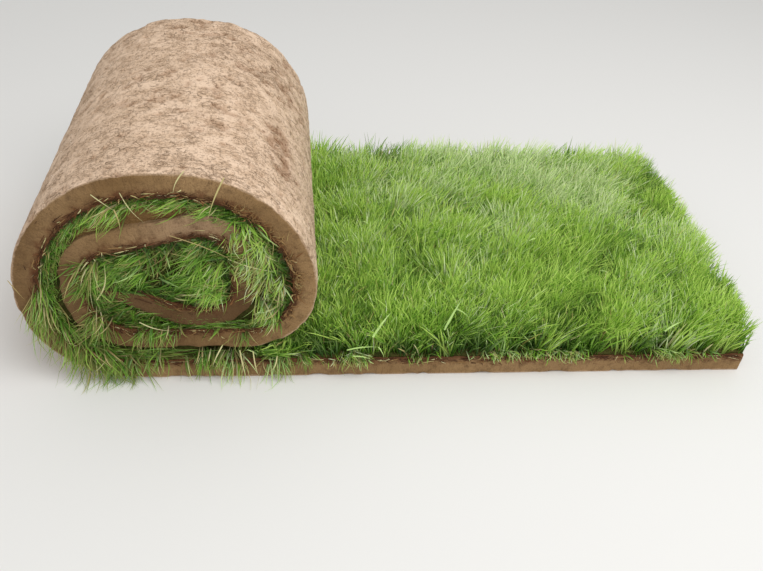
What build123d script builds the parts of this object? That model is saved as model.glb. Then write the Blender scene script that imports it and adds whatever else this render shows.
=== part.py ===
# A cut strip of lawn turf, rolled up grass side in, with its tail laid out flat.
# The soil and roots are one mat of even thickness. From its flat end the mat lies on the floor, bends up
# and over into an oval outer turn, and winds on inside that into a smaller, tilted turn with a thin nose.
# The grass is one soft layer on the mat's upper side. It stands free on the tail and fills every gap of
# the roll, down to the core.
#
# X runs along the tail, away from the roll, Y along the roll's axis, and Z is up.
# The origin is on the floor, under the middle of the whole.
import os
from math import cos, radians, sin

from build123d import *

# Driving dimensions, in millimetres and degrees
strip_width = 406.0
strip_length = 2025.0  # along the middle of the mat, tail and roll together
soil_thickness = 26.0

# Outer turn. Its radii are those of the mat's underside, which faces out.
rise_radius = 115.0  # leaves the floor, on the side away from the tail
shoulder_radius = 143.0  # from there up to the crown
crown_flat = 24.0
fall_radius = 137.0  # from the crown down to the side that faces the tail
crushed_grass = 18.0  # between the tail and the roll that lies on it

# Inner turn, by the radii of the underside again, and by the gaps that grass keeps open round it
side_gap = 20.0  # between the turns, on the side away from the tail
crown_gap = 18.5  # between the turns, under the crown
fall_gap = 37.0  # between the turns, on the side that faces the tail
keel_gap = 4.0  # between the turns, at the bottom
heel_radius = 72.0
back_radius = 57.0
back_slope = 13.5  # the inner turn's upper run climbs by this angle
brow_radius = 53.0
keel_radius = 53.0
nose_radius = 115.0
nose_slope = 33.0  # the last stretch climbs by this angle
nose_thickness = 4.0
nose_gap = 13.0  # between the nose and the side of the inner turn

# Grass
grass_height = 39.0  # where it stands free, without the tips of single blades
grass_lean = 24.0  # how far it reaches past the tail's end
lean_rise = 24.0  # height over which it does so
grass_crown = 12.0  # rounding of its top edges
tuft_reach = 6.0  # how far it stands out past the mat's long edges and past the ends of the roll
tuft_rise = 10.0  # height over which it widens by that much
seat_clearance = 0.3  # between the mat and the grass

# Levels and places that follow, on the end of the roll. Until the parts are placed, X is 0 at the roll's
# side away from the tail.
roll_width = shoulder_radius + crown_flat + fall_radius
roll_height = rise_radius + shoulder_radius
sole_level = soil_thickness + crushed_grass
sole_radius = roll_height - fall_radius - sole_level
inner_side = soil_thickness + side_gap
inner_top = roll_height - soil_thickness - crown_gap
inner_fall = roll_width - soil_thickness - fall_gap
inner_bottom = sole_level + soil_thickness + keel_gap
slope_cos = cos(radians(back_slope))
slope_sin = sin(radians(back_slope))
brow_centre = inner_fall - brow_radius
back_end = inner_side + back_radius * (1 - slope_sin)
back_run = (brow_centre - brow_radius * slope_sin - back_end) / slope_cos
back_rise = back_radius * slope_cos + back_run * slope_sin + brow_radius * (1 - slope_cos)
nose_start = inner_fall - keel_radius - nose_radius * sin(radians(nose_slope))
nose_tip = inner_side + soil_thickness + nose_gap
nose_run = (nose_start - nose_tip) / cos(radians(nose_slope))

# The mat's way from the floor to the nose, always bending to the same hand: the length of each straight,
# or the radius and angle of each bend, both on the underside
rolled_run = [
    (rise_radius, 90.0),
    (shoulder_radius, 90.0),
    (crown_flat,),
    (fall_radius, 90.0),
    (sole_radius, 90.0),
    (roll_width - sole_radius - heel_radius - inner_side,),
    (heel_radius, 90.0),
    (inner_top - back_rise - heel_radius - sole_level,),
    (back_radius, 90.0 - back_slope),
    (back_run,),
    (brow_radius, 90.0 + back_slope),
    (inner_top - brow_radius - keel_radius - inner_bottom,),
    (keel_radius, 90.0),
    (nose_radius, nose_slope),
    (nose_run,),
]
outer_turn = rolled_run[:5]


def middle_length(radius_or_length, angle=None):
    """Length of one straight or bend along the middle of the mat."""
    if angle is None:
        return radius_or_length
    return (radius_or_length - soil_thickness / 2) * radians(angle)


tail_length = strip_length - sum(middle_length(*step) for step in rolled_run)
tail_end = rise_radius + tail_length
roll_end = Plane.XZ  # sketches are drawn on it and extruded along the roll's axis


def follow(run, depth, lead):
    """Edges of the line at that depth in the mat, from lead short of the first bend to the end of run."""
    start = Vector(rise_radius, depth)
    edges = [Line(start + Vector(lead, 0), start)]
    for step in run:
        place = edges[-1] @ 1
        heading = edges[-1] % 1
        if len(step) == 1:
            edges.append(Line(place, place + heading * step[0]))
        else:
            edges.append(JernArc(place, heading, step[0] - depth, -step[1]))
    return edges


def mat_profile(spare):
    """The mat seen from the roll's end, with that much added all round."""
    run = rolled_run[:-1]
    underside = follow(run + [(nose_run + spare,)], -spare, tail_length + spare)
    upper_side = follow(run, soil_thickness + spare, tail_length + spare)
    nose_low = underside[-1] @ 1
    heading = underside[-1] % 1
    nose_high = nose_low + Vector(heading.Y, -heading.X) * (nose_thickness + 2 * spare)
    ends = [
        Line(underside[0] @ 0, upper_side[0] @ 0),
        Line(nose_low, nose_high),
        Line(nose_high, upper_side[-1] @ 1),
    ]
    return make_face(underside + upper_side + ends)


def along_axis(profile, reach):
    """The profile made solid over the strip's width, and past both of its edges by reach."""
    width = strip_width + 2 * reach
    placed = roll_end.offset(reach) * profile
    return extrude(placed, -width)


def make_mat():
    return along_axis(mat_profile(0), 0)


def within_tufts(profile, top, length):
    """The profile made solid and cut to the grass's own section, which widens upward from the mat's edges."""
    level = soil_thickness + seat_clearance
    section = make_face(
        Polyline(
            (0, level),
            (strip_width, level),
            (strip_width + tuft_reach, level + tuft_rise),
            (strip_width + tuft_reach, top),
            (-tuft_reach, top),
            (-tuft_reach, level + tuft_rise),
            close=True,
        )
    )
    section = fillet(section.vertices().sort_by(Axis.Y)[-2:], grass_crown)
    return along_axis(profile, tuft_reach) & extrude(Plane.YZ * section, length)


def make_rolled_grass(mat_room):
    """What fills the roll's gaps, and the crushed grass the roll lies on."""
    outside = follow(outer_turn, 0, 0.001)[1:]
    start = outside[0] @ 0
    stop = outside[-1] @ 1
    foot = Vector(stop.X, 0)
    inside = make_face(outside + [Line(stop, foot), Line(foot, start)])
    return within_tufts(inside - mat_room, roll_height, roll_width)


def make_tail_grass(mat_room):
    """The grass that stands free, leaning out over the tail's end."""
    start = roll_width - sole_radius - keel_radius
    level = soil_thickness + seat_clearance
    top = soil_thickness + grass_height
    lean = tail_end + grass_lean
    side = make_face(
        Polyline(
            (start, level),
            (tail_end, level),
            (lean, level + lean_rise),
            (lean, top),
            (start, top),
            close=True,
        )
    )
    side = fillet(side.vertices().group_by(Axis.X)[-1].sort_by(Axis.Y)[-1], grass_crown)
    return within_tufts(side - mat_room, top, lean)


def make_grass():
    mat_room = mat_profile(seat_clearance)
    return make_rolled_grass(mat_room) + make_tail_grass(mat_room)


mat = make_mat()
grass = make_grass()
middle = Location((-(tail_end + grass_lean) / 2, -strip_width / 2, 0))

os.makedirs("parts", exist_ok=True)
export_step(middle * mat, "parts/soil_mat.step")
export_step(middle * grass, "parts/grass.step")
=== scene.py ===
import math

import bpy
import numpy as np
from mathutils import Matrix, Vector


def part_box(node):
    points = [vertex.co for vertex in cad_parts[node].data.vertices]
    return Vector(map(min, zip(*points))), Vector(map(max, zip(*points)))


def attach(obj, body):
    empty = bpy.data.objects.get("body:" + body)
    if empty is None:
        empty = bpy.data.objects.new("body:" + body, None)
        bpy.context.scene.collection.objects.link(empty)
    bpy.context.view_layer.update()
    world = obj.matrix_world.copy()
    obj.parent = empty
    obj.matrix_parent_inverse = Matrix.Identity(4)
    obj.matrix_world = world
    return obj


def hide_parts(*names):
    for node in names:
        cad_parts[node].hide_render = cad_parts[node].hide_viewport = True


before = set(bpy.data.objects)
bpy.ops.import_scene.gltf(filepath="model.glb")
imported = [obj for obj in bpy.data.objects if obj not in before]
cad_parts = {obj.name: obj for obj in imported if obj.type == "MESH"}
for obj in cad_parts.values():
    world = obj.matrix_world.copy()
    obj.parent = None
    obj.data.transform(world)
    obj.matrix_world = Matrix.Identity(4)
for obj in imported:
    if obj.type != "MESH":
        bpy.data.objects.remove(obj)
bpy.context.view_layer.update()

nearLow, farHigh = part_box("soil_mat")
stripLeft, tailEnd = nearLow[0], farHigh[0]  # the roll's side away from the tail, and the tail's cut end
nearFace, farFace = nearLow[1], farHigh[1]
dice = np.random.default_rng(11)

# the sheet's way, in metres, as the model has it
strip = {
    "thickness": 0.026,
    "riseRadius": 0.115,
    "shoulderRadius": 0.143,
    "crownFlat": 0.024,
    "fallRadius": 0.137,
    "soleLevel": 0.044,
    "sideGrass": 0.020,
    "crownGrass": 0.0185,
    "fallGrass": 0.037,
    "keelGrass": 0.004,
    "heelRadius": 0.072,
    "backRadius": 0.057,
    "backSlope": math.radians(13.5),
    "browRadius": 0.053,
    "keelRadius": 0.053,
    "noseRadius": 0.115,
    "noseSlope": math.radians(33),
    "noseThickness": 0.004,
    "noseGap": 0.013,
}
rollWide = strip["shoulderRadius"] + strip["crownFlat"] + strip["fallRadius"]
rollHigh = strip["riseRadius"] + strip["shoulderRadius"]
soleRadius = rollHigh - strip["fallRadius"] - strip["soleLevel"]
rootLevel = strip["thickness"] - 0.001  # blades on the tail are rooted just inside the soil


def bend(radius, angle):
    # a round stretch of the way, as the underside's length and its radius
    return radius * angle, radius


def stripSteps():
    # the way from the tail's end to the nose: straights as (length, 0) and bends as (length, radius)
    a = strip
    thick, slope = a["thickness"], a["backSlope"]
    left = thick + a["sideGrass"]
    top = rollHigh - thick - a["crownGrass"]
    right = rollWide - thick - a["fallGrass"]
    low = a["soleLevel"] + thick + a["keelGrass"]
    backEnd = left + a["backRadius"] * (1 - math.sin(slope))
    run = (right - a["browRadius"] * (1 + math.sin(slope)) - backEnd) / math.cos(slope)
    climb = a["backRadius"] * math.cos(slope) + run * math.sin(slope)
    climb = climb + a["browRadius"] * (1 - math.cos(slope))
    noseStart = right - a["keelRadius"] - a["noseRadius"] * math.sin(a["noseSlope"])
    quarter = math.pi / 2
    tail = tailEnd - stripLeft - a["riseRadius"]
    return [
        (tail, 0),
        bend(a["riseRadius"], quarter),
        bend(a["shoulderRadius"], quarter),
        (a["crownFlat"], 0),
        bend(a["fallRadius"], quarter),
        bend(soleRadius, quarter),
        (rollWide - soleRadius - a["heelRadius"] - left, 0),
        bend(a["heelRadius"], quarter),
        (top - climb - a["heelRadius"] - a["soleLevel"], 0),
        bend(a["backRadius"], quarter - slope),
        (run, 0),
        bend(a["browRadius"], quarter + slope),
        (top - a["browRadius"] - a["keelRadius"] - low, 0),
        bend(a["keelRadius"], quarter),
        bend(a["noseRadius"], a["noseSlope"]),
        ((noseStart - left - thick - a["noseGap"]) / math.cos(a["noseSlope"]), 0),
    ]


steps = stripSteps()
starts = np.concatenate([[0], np.cumsum([length for length, radius in steps])])
stripLength = float(starts[-1])
tailLength = float(starts[1])


def stripPoint(along, depth):
    # place on the sheet's way: the underside's point at that arc length, moved by depth towards the grass.
    # On a bend that is centre - (radius - depth) * inward, with inward turning by arc length over radius.
    # It gives x, z and the two parts of the inward direction.
    along, depth = np.broadcast_arrays(np.asarray(along, float), np.asarray(depth, float))
    x, z, inX, inZ = (np.zeros(along.shape) for _ in range(4))
    px, pz, angle = tailEnd, 0.0, math.pi
    for number, (length, radius) in enumerate(steps):
        last = number == len(steps) - 1
        here = (along >= starts[number]) & ((along < starts[number + 1]) | last)
        local = along[here] - starts[number]
        turned = angle - (local / radius if radius else 0 * local)
        ix, iz = np.sin(turned), -np.cos(turned)
        if radius:
            cx, cz = px + radius * math.sin(angle), pz - radius * math.cos(angle)
            x[here] = cx - (radius - depth[here]) * ix
            z[here] = cz - (radius - depth[here]) * iz
            angle -= length / radius
            px, pz = cx - radius * math.sin(angle), cz + radius * math.cos(angle)
        else:
            x[here] = px + local * math.cos(angle) + depth[here] * ix
            z[here] = pz + local * math.sin(angle) + depth[here] * iz
            px, pz = px + length * math.cos(angle), pz + length * math.sin(angle)
        inX[here], inZ[here] = ix, iz
    return x, z, inX, inZ


# whole numbers that scatter a place, its seed and then all of its bits
hashing = {
    "axes": (73856093, 19349663, 83492791),
    "seed": 2654435761,
    "factor": 1103515245,
    "step": 12345,
    "lastFactor": 60493,
    "most": 2 ** 31 - 1,  # the largest number, and the mask that keeps 31 bits
}


def cornerNumber(place, seed):
    # a random number from -1 to 1 for each whole-number place, always the same one for the same seed
    a = hashing
    h = seed * a["seed"]
    for axis, prime in zip(place, a["axes"]):
        h = h ^ axis * prime
    h = ((h & a["most"]) * a["factor"] + a["step"]) & a["most"]
    h = ((h >> 13) ^ h) * a["lastFactor"] & a["most"]
    return h / (a["most"] // 2) - 1


def valueNoise(x, y, z, seed):
    # random numbers on the corners of a unit lattice, blended inside each cell with 3t^2 - 2t^3
    cell = [np.floor(v).astype(np.int64) for v in (x, y, z)]
    part = [v - c for v, c in zip((x, y, z), cell)]
    soft = [p * p * (3 - 2 * p) for p in part]
    total = np.zeros(np.shape(x))
    for corner in range(8):
        bits = [(corner >> k) & 1 for k in range(3)]
        weight = 1.0
        for share, bit in zip(soft, bits):
            weight = weight * (share if bit else 1 - share)
        total += weight * cornerNumber([c + bit for c, bit in zip(cell, bits)], seed)
    return total


def lumps(x, y, z, size, octaves, seed):
    # octaves of value noise, each half the size and half the height of the one before, from -1 to 1 in all
    total, height, reach = 0.0, 1.0, 0.0
    for octave in range(octaves):
        scale = 2 ** octave / size
        total = total + height * valueNoise(x * scale, y * scale, z * scale, seed + octave * 17)
        reach += height
        height *= 0.5
    return total / reach


def soften(v, low, high):
    # 0 below low, 1 above high, 3t^2 - 2t^3 between
    t = np.clip((v - low) / (high - low), 0, 1)
    return t * t * (3 - 2 * t)


def buildMesh(name, points, faces, materials, maps=None, slots=None):
    # one smooth mesh from whole arrays. faces is a list of (n, k) arrays, each with n faces of k corners, and
    # each of the maps gives every point its place on that map.
    mesh = bpy.data.meshes.new(name)
    corners = np.concatenate([group.ravel() for group in faces]).astype(np.int32)
    sizes = np.concatenate([np.full(len(group), group.shape[1]) for group in faces])
    first = np.concatenate([[0], np.cumsum(sizes)[:-1]]).astype(np.int32)
    mesh.vertices.add(len(points))
    mesh.vertices.foreach_set("co", np.asarray(points, np.float32).ravel())
    mesh.loops.add(len(corners))
    mesh.loops.foreach_set("vertex_index", corners)
    mesh.polygons.add(len(first))
    mesh.polygons.foreach_set("loop_start", first)
    mesh.polygons.foreach_set("use_smooth", np.ones(len(first), bool))
    if slots is not None:
        mesh.polygons.foreach_set("material_index", np.asarray(slots, np.int32))
    mesh.update(calc_edges=True)
    for mapName, uv in (maps or {}).items():
        layer = mesh.uv_layers.new(name=mapName)
        layer.uv.foreach_set("vector", np.asarray(uv, np.float32).reshape(-1, 2)[corners].ravel())
    mesh.validate()
    for material in materials:
        mesh.materials.append(material)
    thing = bpy.data.objects.new(name, mesh)
    bpy.context.collection.objects.link(thing)
    return thing


def gridQuads(rows, columns, closed=False):
    # faces between neighbouring rows and columns of a grid. When closed, the last column meets the first.
    i = np.arange(rows - 1)[:, None] * columns
    j = np.arange(columns if closed else columns - 1)[None]
    k = (j + 1) % columns
    return np.stack([i + j, i + k, i + columns + k, i + columns + j], -1).reshape(-1, 4)


class Wire:
    # one output socket, so that shader maths reads as plain expressions
    def __init__(self, paint, socket):
        self.paint, self.socket = paint, socket

    def calc(self, operation, first, second=0.0):
        return self.paint.node("ShaderNodeMath", {"operation": operation}, {0: first, 1: second})

    def __abs__(self):
        return self.calc("ABSOLUTE", self)

    def __add__(self, other):
        return self.calc("ADD", self, other)

    def __radd__(self, other):
        return self.calc("ADD", other, self)

    def __sub__(self, other):
        return self.calc("SUBTRACT", self, other)

    def __rsub__(self, other):
        return self.calc("SUBTRACT", other, self)

    def __mul__(self, other):
        return self.calc("MULTIPLY", self, other)

    def __rmul__(self, other):
        return self.calc("MULTIPLY", other, self)

    def between(self, low, high):
        # 0 at low, 1 at high, smooth between
        inputs = {"Value": self, "From Min": low, "From Max": high}
        return self.paint.node("ShaderNodeMapRange", {"interpolation_type": "SMOOTHSTEP"}, inputs)


class Paint:
    # a material, and node, the one method that adds nodes to it: their settings first, then their sockets
    def __init__(self, name):
        self.material = bpy.data.materials.new(name)
        self.material.use_nodes = True
        self.tree = self.material.node_tree
        self.tree.nodes.clear()

    def node(self, kind, settings=None, inputs=None, output=0):
        made = self.tree.nodes.new(kind)
        for key, value in (settings or {}).items():
            if key == "stops":
                ramp = made.color_ramp
                while len(ramp.elements) < len(value):
                    ramp.elements.new(0.5)
                for stop, (place, colour) in zip(ramp.elements, value):
                    stop.position, stop.color = place, (*colour, 1)
            else:
                setattr(made, key, value)
        for key, value in (inputs or {}).items():
            if isinstance(value, Wire):
                self.tree.links.new(value.socket, made.inputs[key])
            else:
                made.inputs[key].default_value = value
        return Wire(self, made.outputs[output]) if made.outputs else None

    def blend(self, factor, first, second):
        # colours, first at 0 and second at 1
        first, second = ((*c, 1) if isinstance(c, tuple) else c for c in (first, second))
        return self.node("ShaderNodeMix", {"data_type": "RGBA"}, {0: factor, 6: first, 7: second}, 2)

    def grain(self, place, scale, detail, rough=0.55, stretch=None):
        # noise, drawn out along an axis where its stretch is below 1
        if stretch:
            place = self.node("ShaderNodeMapping", {}, {"Vector": place, "Scale": stretch})
        inputs = {"Vector": place, "Scale": scale, "Detail": detail, "Roughness": rough}
        return self.node("ShaderNodeTexNoise", {}, inputs)

    def objectPlace(self):
        return self.node("ShaderNodeTexCoord", {}, {}, 3)

    def onMap(self, name):
        return self.node("ShaderNodeUVMap", {"uv_map": name})

    def part(self, vector, number):
        # the first, second or third number of a vector
        return self.node("ShaderNodeSeparateXYZ", {}, {0: vector}, number)

    def skin(self, colour, rough, gloss, height=None, relief=0.0):
        # the main shader, with a bump of that relief where a height is given
        inputs = {"Base Color": colour, "Roughness": rough, "Specular IOR Level": gloss}
        if height is not None:
            inputs["Normal"] = self.node("ShaderNodeBump", {}, {"Distance": relief, "Height": height})
        return self.node("ShaderNodeBsdfPrincipled", {}, inputs)

    def finish(self, shader):
        self.node("ShaderNodeOutputMaterial", {}, {"Surface": shader})
        return self.material


def srgb(*levels):
    # a colour as an image program shows it, from 0 to 255, as the light values that shaders take
    shares = [level / 255 for level in levels]
    return tuple(v / 12.92 if v <= 0.04045 else ((v + 0.055) / 1.055) ** 2.4 for v in shares)


print("soil: materials")
soilLook = {
    "crustPale": srgb(229, 201, 174),
    "crustTorn": srgb(146, 106, 76),
    "crustMid": srgb(209, 179, 150),
    "crustDark": srgb(122, 90, 62),
    "cutPale": srgb(164, 132, 92),
    "cutMid": srgb(130, 100, 63),
    "cutDark": srgb(78, 54, 32),
    "rootRed": srgb(104, 62, 38),
}


def crustMaterial():
    # the pale dry underside: mottled, with short dark flecks that run along the strip, cracks, and pits that
    # show the browner soil under the crust
    p = Paint("dryCrust")
    place = p.objectPlace()
    onStrip = p.onMap("strip")
    pits = p.node("ShaderNodeAttribute", {"attribute_name": "pits"}, {}, 2)
    broad = p.grain(place, 9, 3)
    patch = p.grain(place, 60, 4, 0.65)
    flecks = p.grain(onStrip, 230, 3, 0.6, (0.8, 1.0, 1.0))
    smallFlecks = p.grain(onStrip, 480, 2, 0.6, (0.85, 1.0, 1.0))
    seam = p.grain(onStrip, 26, 3, 0.6) - 0.5
    cracked = p.grain(place, 24, 2).between(0.48, 0.60)
    crack = (1 - abs(seam).between(0.003, 0.020)) * cracked
    fine = p.grain(place, 700, 2, 0.6)
    colour = p.blend(patch.between(0.36, 0.64), soilLook["crustMid"], soilLook["crustPale"])
    colour = p.blend((1 - broad.between(0.32, 0.6)) * 0.45, colour, soilLook["crustMid"])
    local = (patch - 0.5) * -0.30 + (broad - 0.5) * -0.18
    torn = (flecks + local).between(0.53, 0.68)
    small = (smallFlecks + local).between(0.52, 0.68)
    colour = p.blend(torn * 0.27, colour, soilLook["crustDark"])
    colour = p.blend(small * 0.24, colour, soilLook["crustDark"])
    colour = p.blend(pits * (0.42 + torn * 0.30), colour, soilLook["crustTorn"])
    colour = p.blend(crack * 0.40, colour, soilLook["crustDark"])
    height = patch * 0.5 + fine * 0.35 - torn * 0.55 - small * 0.35 - crack * 0.5
    return p.finish(p.skin(colour, 0.95, 0.15, height, 0.0020))


def cutMaterial():
    # the moist cut faces: loam, with painted shade that darkens it on the side away from the tail and painted
    # light that makes it pale towards it, pale and dry along the outside, red with roots near the grass, and
    # dark on the inner turn but for its upper run
    p = Paint("cutSoil")
    place = p.objectPlace()
    onCut = p.onMap("cut")
    level = p.part(onCut, 1)
    along = p.part(onCut, 0)
    across = p.part(place, 0)
    broad = p.grain(place, 12, 3)
    patch = p.grain(place, 85, 4, 0.7)
    fine = p.grain(place, 640, 3, 0.65)
    scrape = p.grain(onCut, 420, 3, 0.6, (1.0, 0.16, 1.0))
    colour = p.blend(broad.between(0.35, 0.68), soilLook["cutMid"], soilLook["cutPale"])
    # painted light: paler towards the tail
    colour = p.blend(across.between(stripLeft + 0.18, stripLeft + 0.30) * 0.55, colour, soilLook["cutPale"])
    # painted shade: darker on the side away from the tail
    paintedShade = 1 - across.between(stripLeft, stripLeft + 0.14)
    colour = p.blend(paintedShade * 0.34, colour, soilLook["cutDark"])
    upperRun = along.between(starts[10], starts[11]) - along.between(starts[11] + 0.02, starts[12])
    colour = p.blend(upperRun * 0.30, colour, soilLook["crustMid"])
    heel = along.between(starts[6], starts[7]) - along.between(starts[9], starts[10] + 0.02)
    nose = along.between(starts[12] - 0.01, starts[13] + 0.02)
    colour = p.blend(heel * 0.35 + nose * 0.72, colour, soilLook["cutDark"])
    colour = p.blend(patch.between(0.44, 0.78) * 0.55, colour, soilLook["cutDark"])
    outside = 1 - along.between(starts[6] - 0.03, starts[6])
    dry = 1 - (level + (patch - 0.5) * 0.006).between(0.0004, 0.0030)
    colour = p.blend(dry * outside * 0.6, colour, soilLook["crustMid"])
    deep = (level + (patch - 0.5) * 0.026).between(0.0135, 0.0265)
    colour = p.blend(deep * 0.85, colour, soilLook["rootRed"])
    colour = p.blend(scrape.between(0.52, 0.7) * 0.28, colour, soilLook["cutDark"])
    colour = p.blend(fine.between(0.45, 0.8) * 0.5, colour, soilLook["cutDark"])
    height = patch * 0.5 + fine * 0.45 + scrape * 0.35
    return p.finish(p.skin(colour, 0.9, 0.2, height, 0.0024))


dryCrust = crustMaterial()
cutSoil = cutMaterial()

print("soil: the sheet")
soilSheet = {
    "tailStep": 0.006,
    "outerStep": 0.0033,
    "innerStep": 0.007,
    "fineLead": 0.02,  # the finer steps begin that far before the roll
    "widthCount": 108,
    "widthEase": 1.12,  # above 1 the points lie closer together at the rims
    "upperCount": 16,
    "sideCount": 9,
    "relief": 0.0012,
    "coarseSize": 0.030,
    "fineSize": 0.007,
    "chipSize": 0.012,
    "rimWear": 0.0012,
    "rimAcross": 0.004,  # how far in the wear reaches from a rim, across the strip
    "rimThrough": 0.003,  # and through the soil
    "pitDepth": 0.0016,
    "pitSize": 0.010,
    "pitRange": (0.28, 0.60),  # noise below the first is whole crust, above the second all pit
    "groupSize": 0.09,  # pits lie in groups of about this size
}
tornStrip = {
    # crust that came off, on the side that faces the tail: its middle, slant and half size
    "along": starts[3] + 0.136,
    "across": -0.078,
    "slant": -0.10,
    "halfAlong": 0.020,
    "halfAcross": 0.052,
    "pit": 0.9,
    "brown": 0.55,  # how much more of the brown shows there than in other pits
}


def soilRows():
    # places along the strip: long steps on the tail, fine ones round the outer turn, long ones inside it
    a = soilSheet
    fineFrom, outerEnd = tailLength - a["fineLead"], starts[6]
    return np.concatenate([
        np.arange(0, fineFrom, a["tailStep"]),
        np.arange(fineFrom, outerEnd, a["outerStep"]),
        np.arange(outerEnd, stripLength - 0.001, a["innerStep"]),
        [stripLength],
    ])


def soilSection(half):
    # the closed section as y, level from 0 underneath to 1 on top, and the outward direction's two parts:
    # underside, far cut side, upper side, near cut side
    a = soilSheet
    under = np.linspace(-1, 1, a["widthCount"])
    under = half * np.sign(under) * (1 - (1 - np.abs(under)) ** a["widthEase"])
    upper = np.linspace(half, -half, a["upperCount"])
    rise = np.linspace(0, 1, a["sideCount"] + 2)[1:-1]
    counts = [len(under), len(rise), len(upper), len(rise)]
    y = np.concatenate([under, half + 0 * rise, upper, 0 * rise - half])
    level = np.concatenate([np.zeros(len(under)), rise, np.ones(len(upper)), rise[::-1]])
    return y, level, np.repeat([0.0, 1.0, 0.0, -1.0], counts), np.repeat([-1.0, 0.0, 1.0, 0.0], counts)


def soilThickness(along):
    # even, but thinner and thinner from the nose's start to its end
    full, least = strip["thickness"], strip["noseThickness"]
    return full + (least - full) * np.maximum(along - starts[-2], 0) / (stripLength - starts[-2])


def soilMat():
    # the section carried along the strip. Every point moves along the section's outward direction by noise,
    # less the pits, and the rims are worn back by chips.
    a, torn = soilSheet, tornStrip
    along = soilRows()
    half = (farFace - nearFace) / 2
    y, level, outY, outIn = soilSection(half)
    thick = soilThickness(along)[:, None]
    s, y = along[:, None] + 0 * y, y + 0 * along[:, None]
    depth = thick * level
    x, z, inX, inZ = stripPoint(s, depth)
    under = (outIn < 0)[None] + 0 * s
    rim = np.exp(-((half - np.abs(y)) / a["rimAcross"]) ** 2)
    rim = rim * np.exp(-(np.minimum(depth, thick - depth) / a["rimThrough"]) ** 2)
    coarse = lumps(x, y, z, a["coarseSize"], 3, 3)
    fine = lumps(s * 0.6, y, depth, a["fineSize"], 3, 5)
    move = a["relief"] * (0.6 * coarse + 1.0 * fine) * (0.55 + 0.45 * under)
    chips = np.clip(lumps(s, y, depth * 2, a["chipSize"], 2, 9), 0, 1)
    away = rim * a["rimWear"] * (0.35 + 1.9 * chips)
    scarS = (s - torn["along"] - torn["slant"] * (y - torn["across"])) / torn["halfAlong"]
    scar = np.exp(-scarS ** 4 - ((y - torn["across"]) / torn["halfAcross"]) ** 4)
    pits = lumps(s * 0.9, y, 0 * s, a["pitSize"], 3, 7) + 0.45 * lumps(s, y, 0 * s, a["groupSize"], 2, 8)
    pits = soften(pits + torn["pit"] * scar, *a["pitRange"]) * under
    outward = move * (1 - rim) - a["pitDepth"] * pits
    # a face that lies on the floor stays flat on it
    onFloor = (s < tailLength) & (outIn < 0)[None]
    outward = np.where(onFloor, -np.abs(outward) * 0.5, outward)
    x = x + inX * (outward * outIn - away * outIn)
    z = np.maximum(z + inZ * (outward * outIn - away * outIn), 0)
    place = y + outward * outY - away * np.sign(y) + (nearFace + farFace) / 2
    points = np.stack([x, place, z], -1).reshape(-1, 3)
    rows, columns = s.shape
    ends = np.array([np.arange(columns)[::-1], (rows - 1) * columns + np.arange(columns)])
    dry = (np.arange(columns) < a["widthCount"] - 1)[None] & (along[:-1, None] < starts[6])
    slots = np.concatenate([np.where(dry.ravel(), 0, 1), [1, 1]])
    maps = {"strip": np.stack([s, place + 1], -1), "cut": np.stack([s, depth], -1)}
    faces = [gridQuads(rows, columns, True), ends]
    thing = buildMesh("soilSheet", points, faces, [dryCrust, cutSoil], maps, slots)
    thing.data.set_sharp_from_angle(angle=math.radians(50))
    store = thing.data.attributes.new("pits", "FLOAT", "POINT")
    brown = pits + torn["brown"] * scar * under
    store.data.foreach_set("value", brown.astype(np.float32).ravel())
    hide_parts("soil_mat")
    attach(thing, "root")


soilMat()

print("grass: materials")
grassLook = {
    # fresh green from shade to light, then paler, bluer green, then olive, then dead stalks
    "tones": [
        (0.00, srgb(40, 80, 14)),
        (0.10, srgb(88, 144, 31)),
        (0.20, srgb(139, 196, 52)),
        (0.30, srgb(202, 232, 108)),
        (0.32, srgb(78, 112, 58)),
        (0.42, srgb(148, 190, 106)),
        (0.51, srgb(202, 232, 148)),
        (0.58, srgb(240, 246, 206)),
        (0.60, srgb(82, 80, 34)),
        (0.69, srgb(138, 136, 68)),
        (0.79, srgb(190, 188, 116)),
        (0.81, srgb(238, 228, 176)),
        (0.90, srgb(206, 178, 124)),
        (1.00, srgb(132, 92, 54)),
    ],
    # painted shade: the colour that a blade darkens to at its foot, where the grass around it shades it
    "foot": srgb(40, 58, 14),
    "tip": srgb(216, 234, 138),
    "through": srgb(150, 214, 60),
    "throughShare": 0.20,
    # root ends and dead stalks, from dark red-brown to pale straw
    "fibreTones": [
        (0.0, srgb(70, 44, 26)),
        (0.4, srgb(118, 76, 44)),
        (0.7, srgb(158, 126, 80)),
        (0.8, srgb(196, 184, 124)),
        (1.0, srgb(226, 224, 172)),
    ],
    # dark colours that paint the shade between the blades, with moss, stubble and litter
    "mossAndShade": srgb(52, 62, 26),
    "stubbleAndShade": srgb(92, 88, 46),
    "litterAndShade": srgb(60, 48, 26),
    "soilOver": (0.165, 0.195),  # above this height the filling is as brown as the cut soil
}


def toneOf(light, pale, dead, dull=0.0):
    # a place on the tones from a lightness of 0 to 1 and the chances of being pale, dead or dull (olive)
    count = len(light)
    light = np.clip(light, 0.03, 0.97)
    tone = np.where(dice.random(count) < pale, 0.323 + 0.25 * light, 0.005 + 0.29 * light)
    tone = np.where(dice.random(count) < dull, 0.605 + 0.18 * light, tone)
    return np.where(dice.random(count) < dead, dice.uniform(0.82, 0.99, count), tone)


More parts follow.
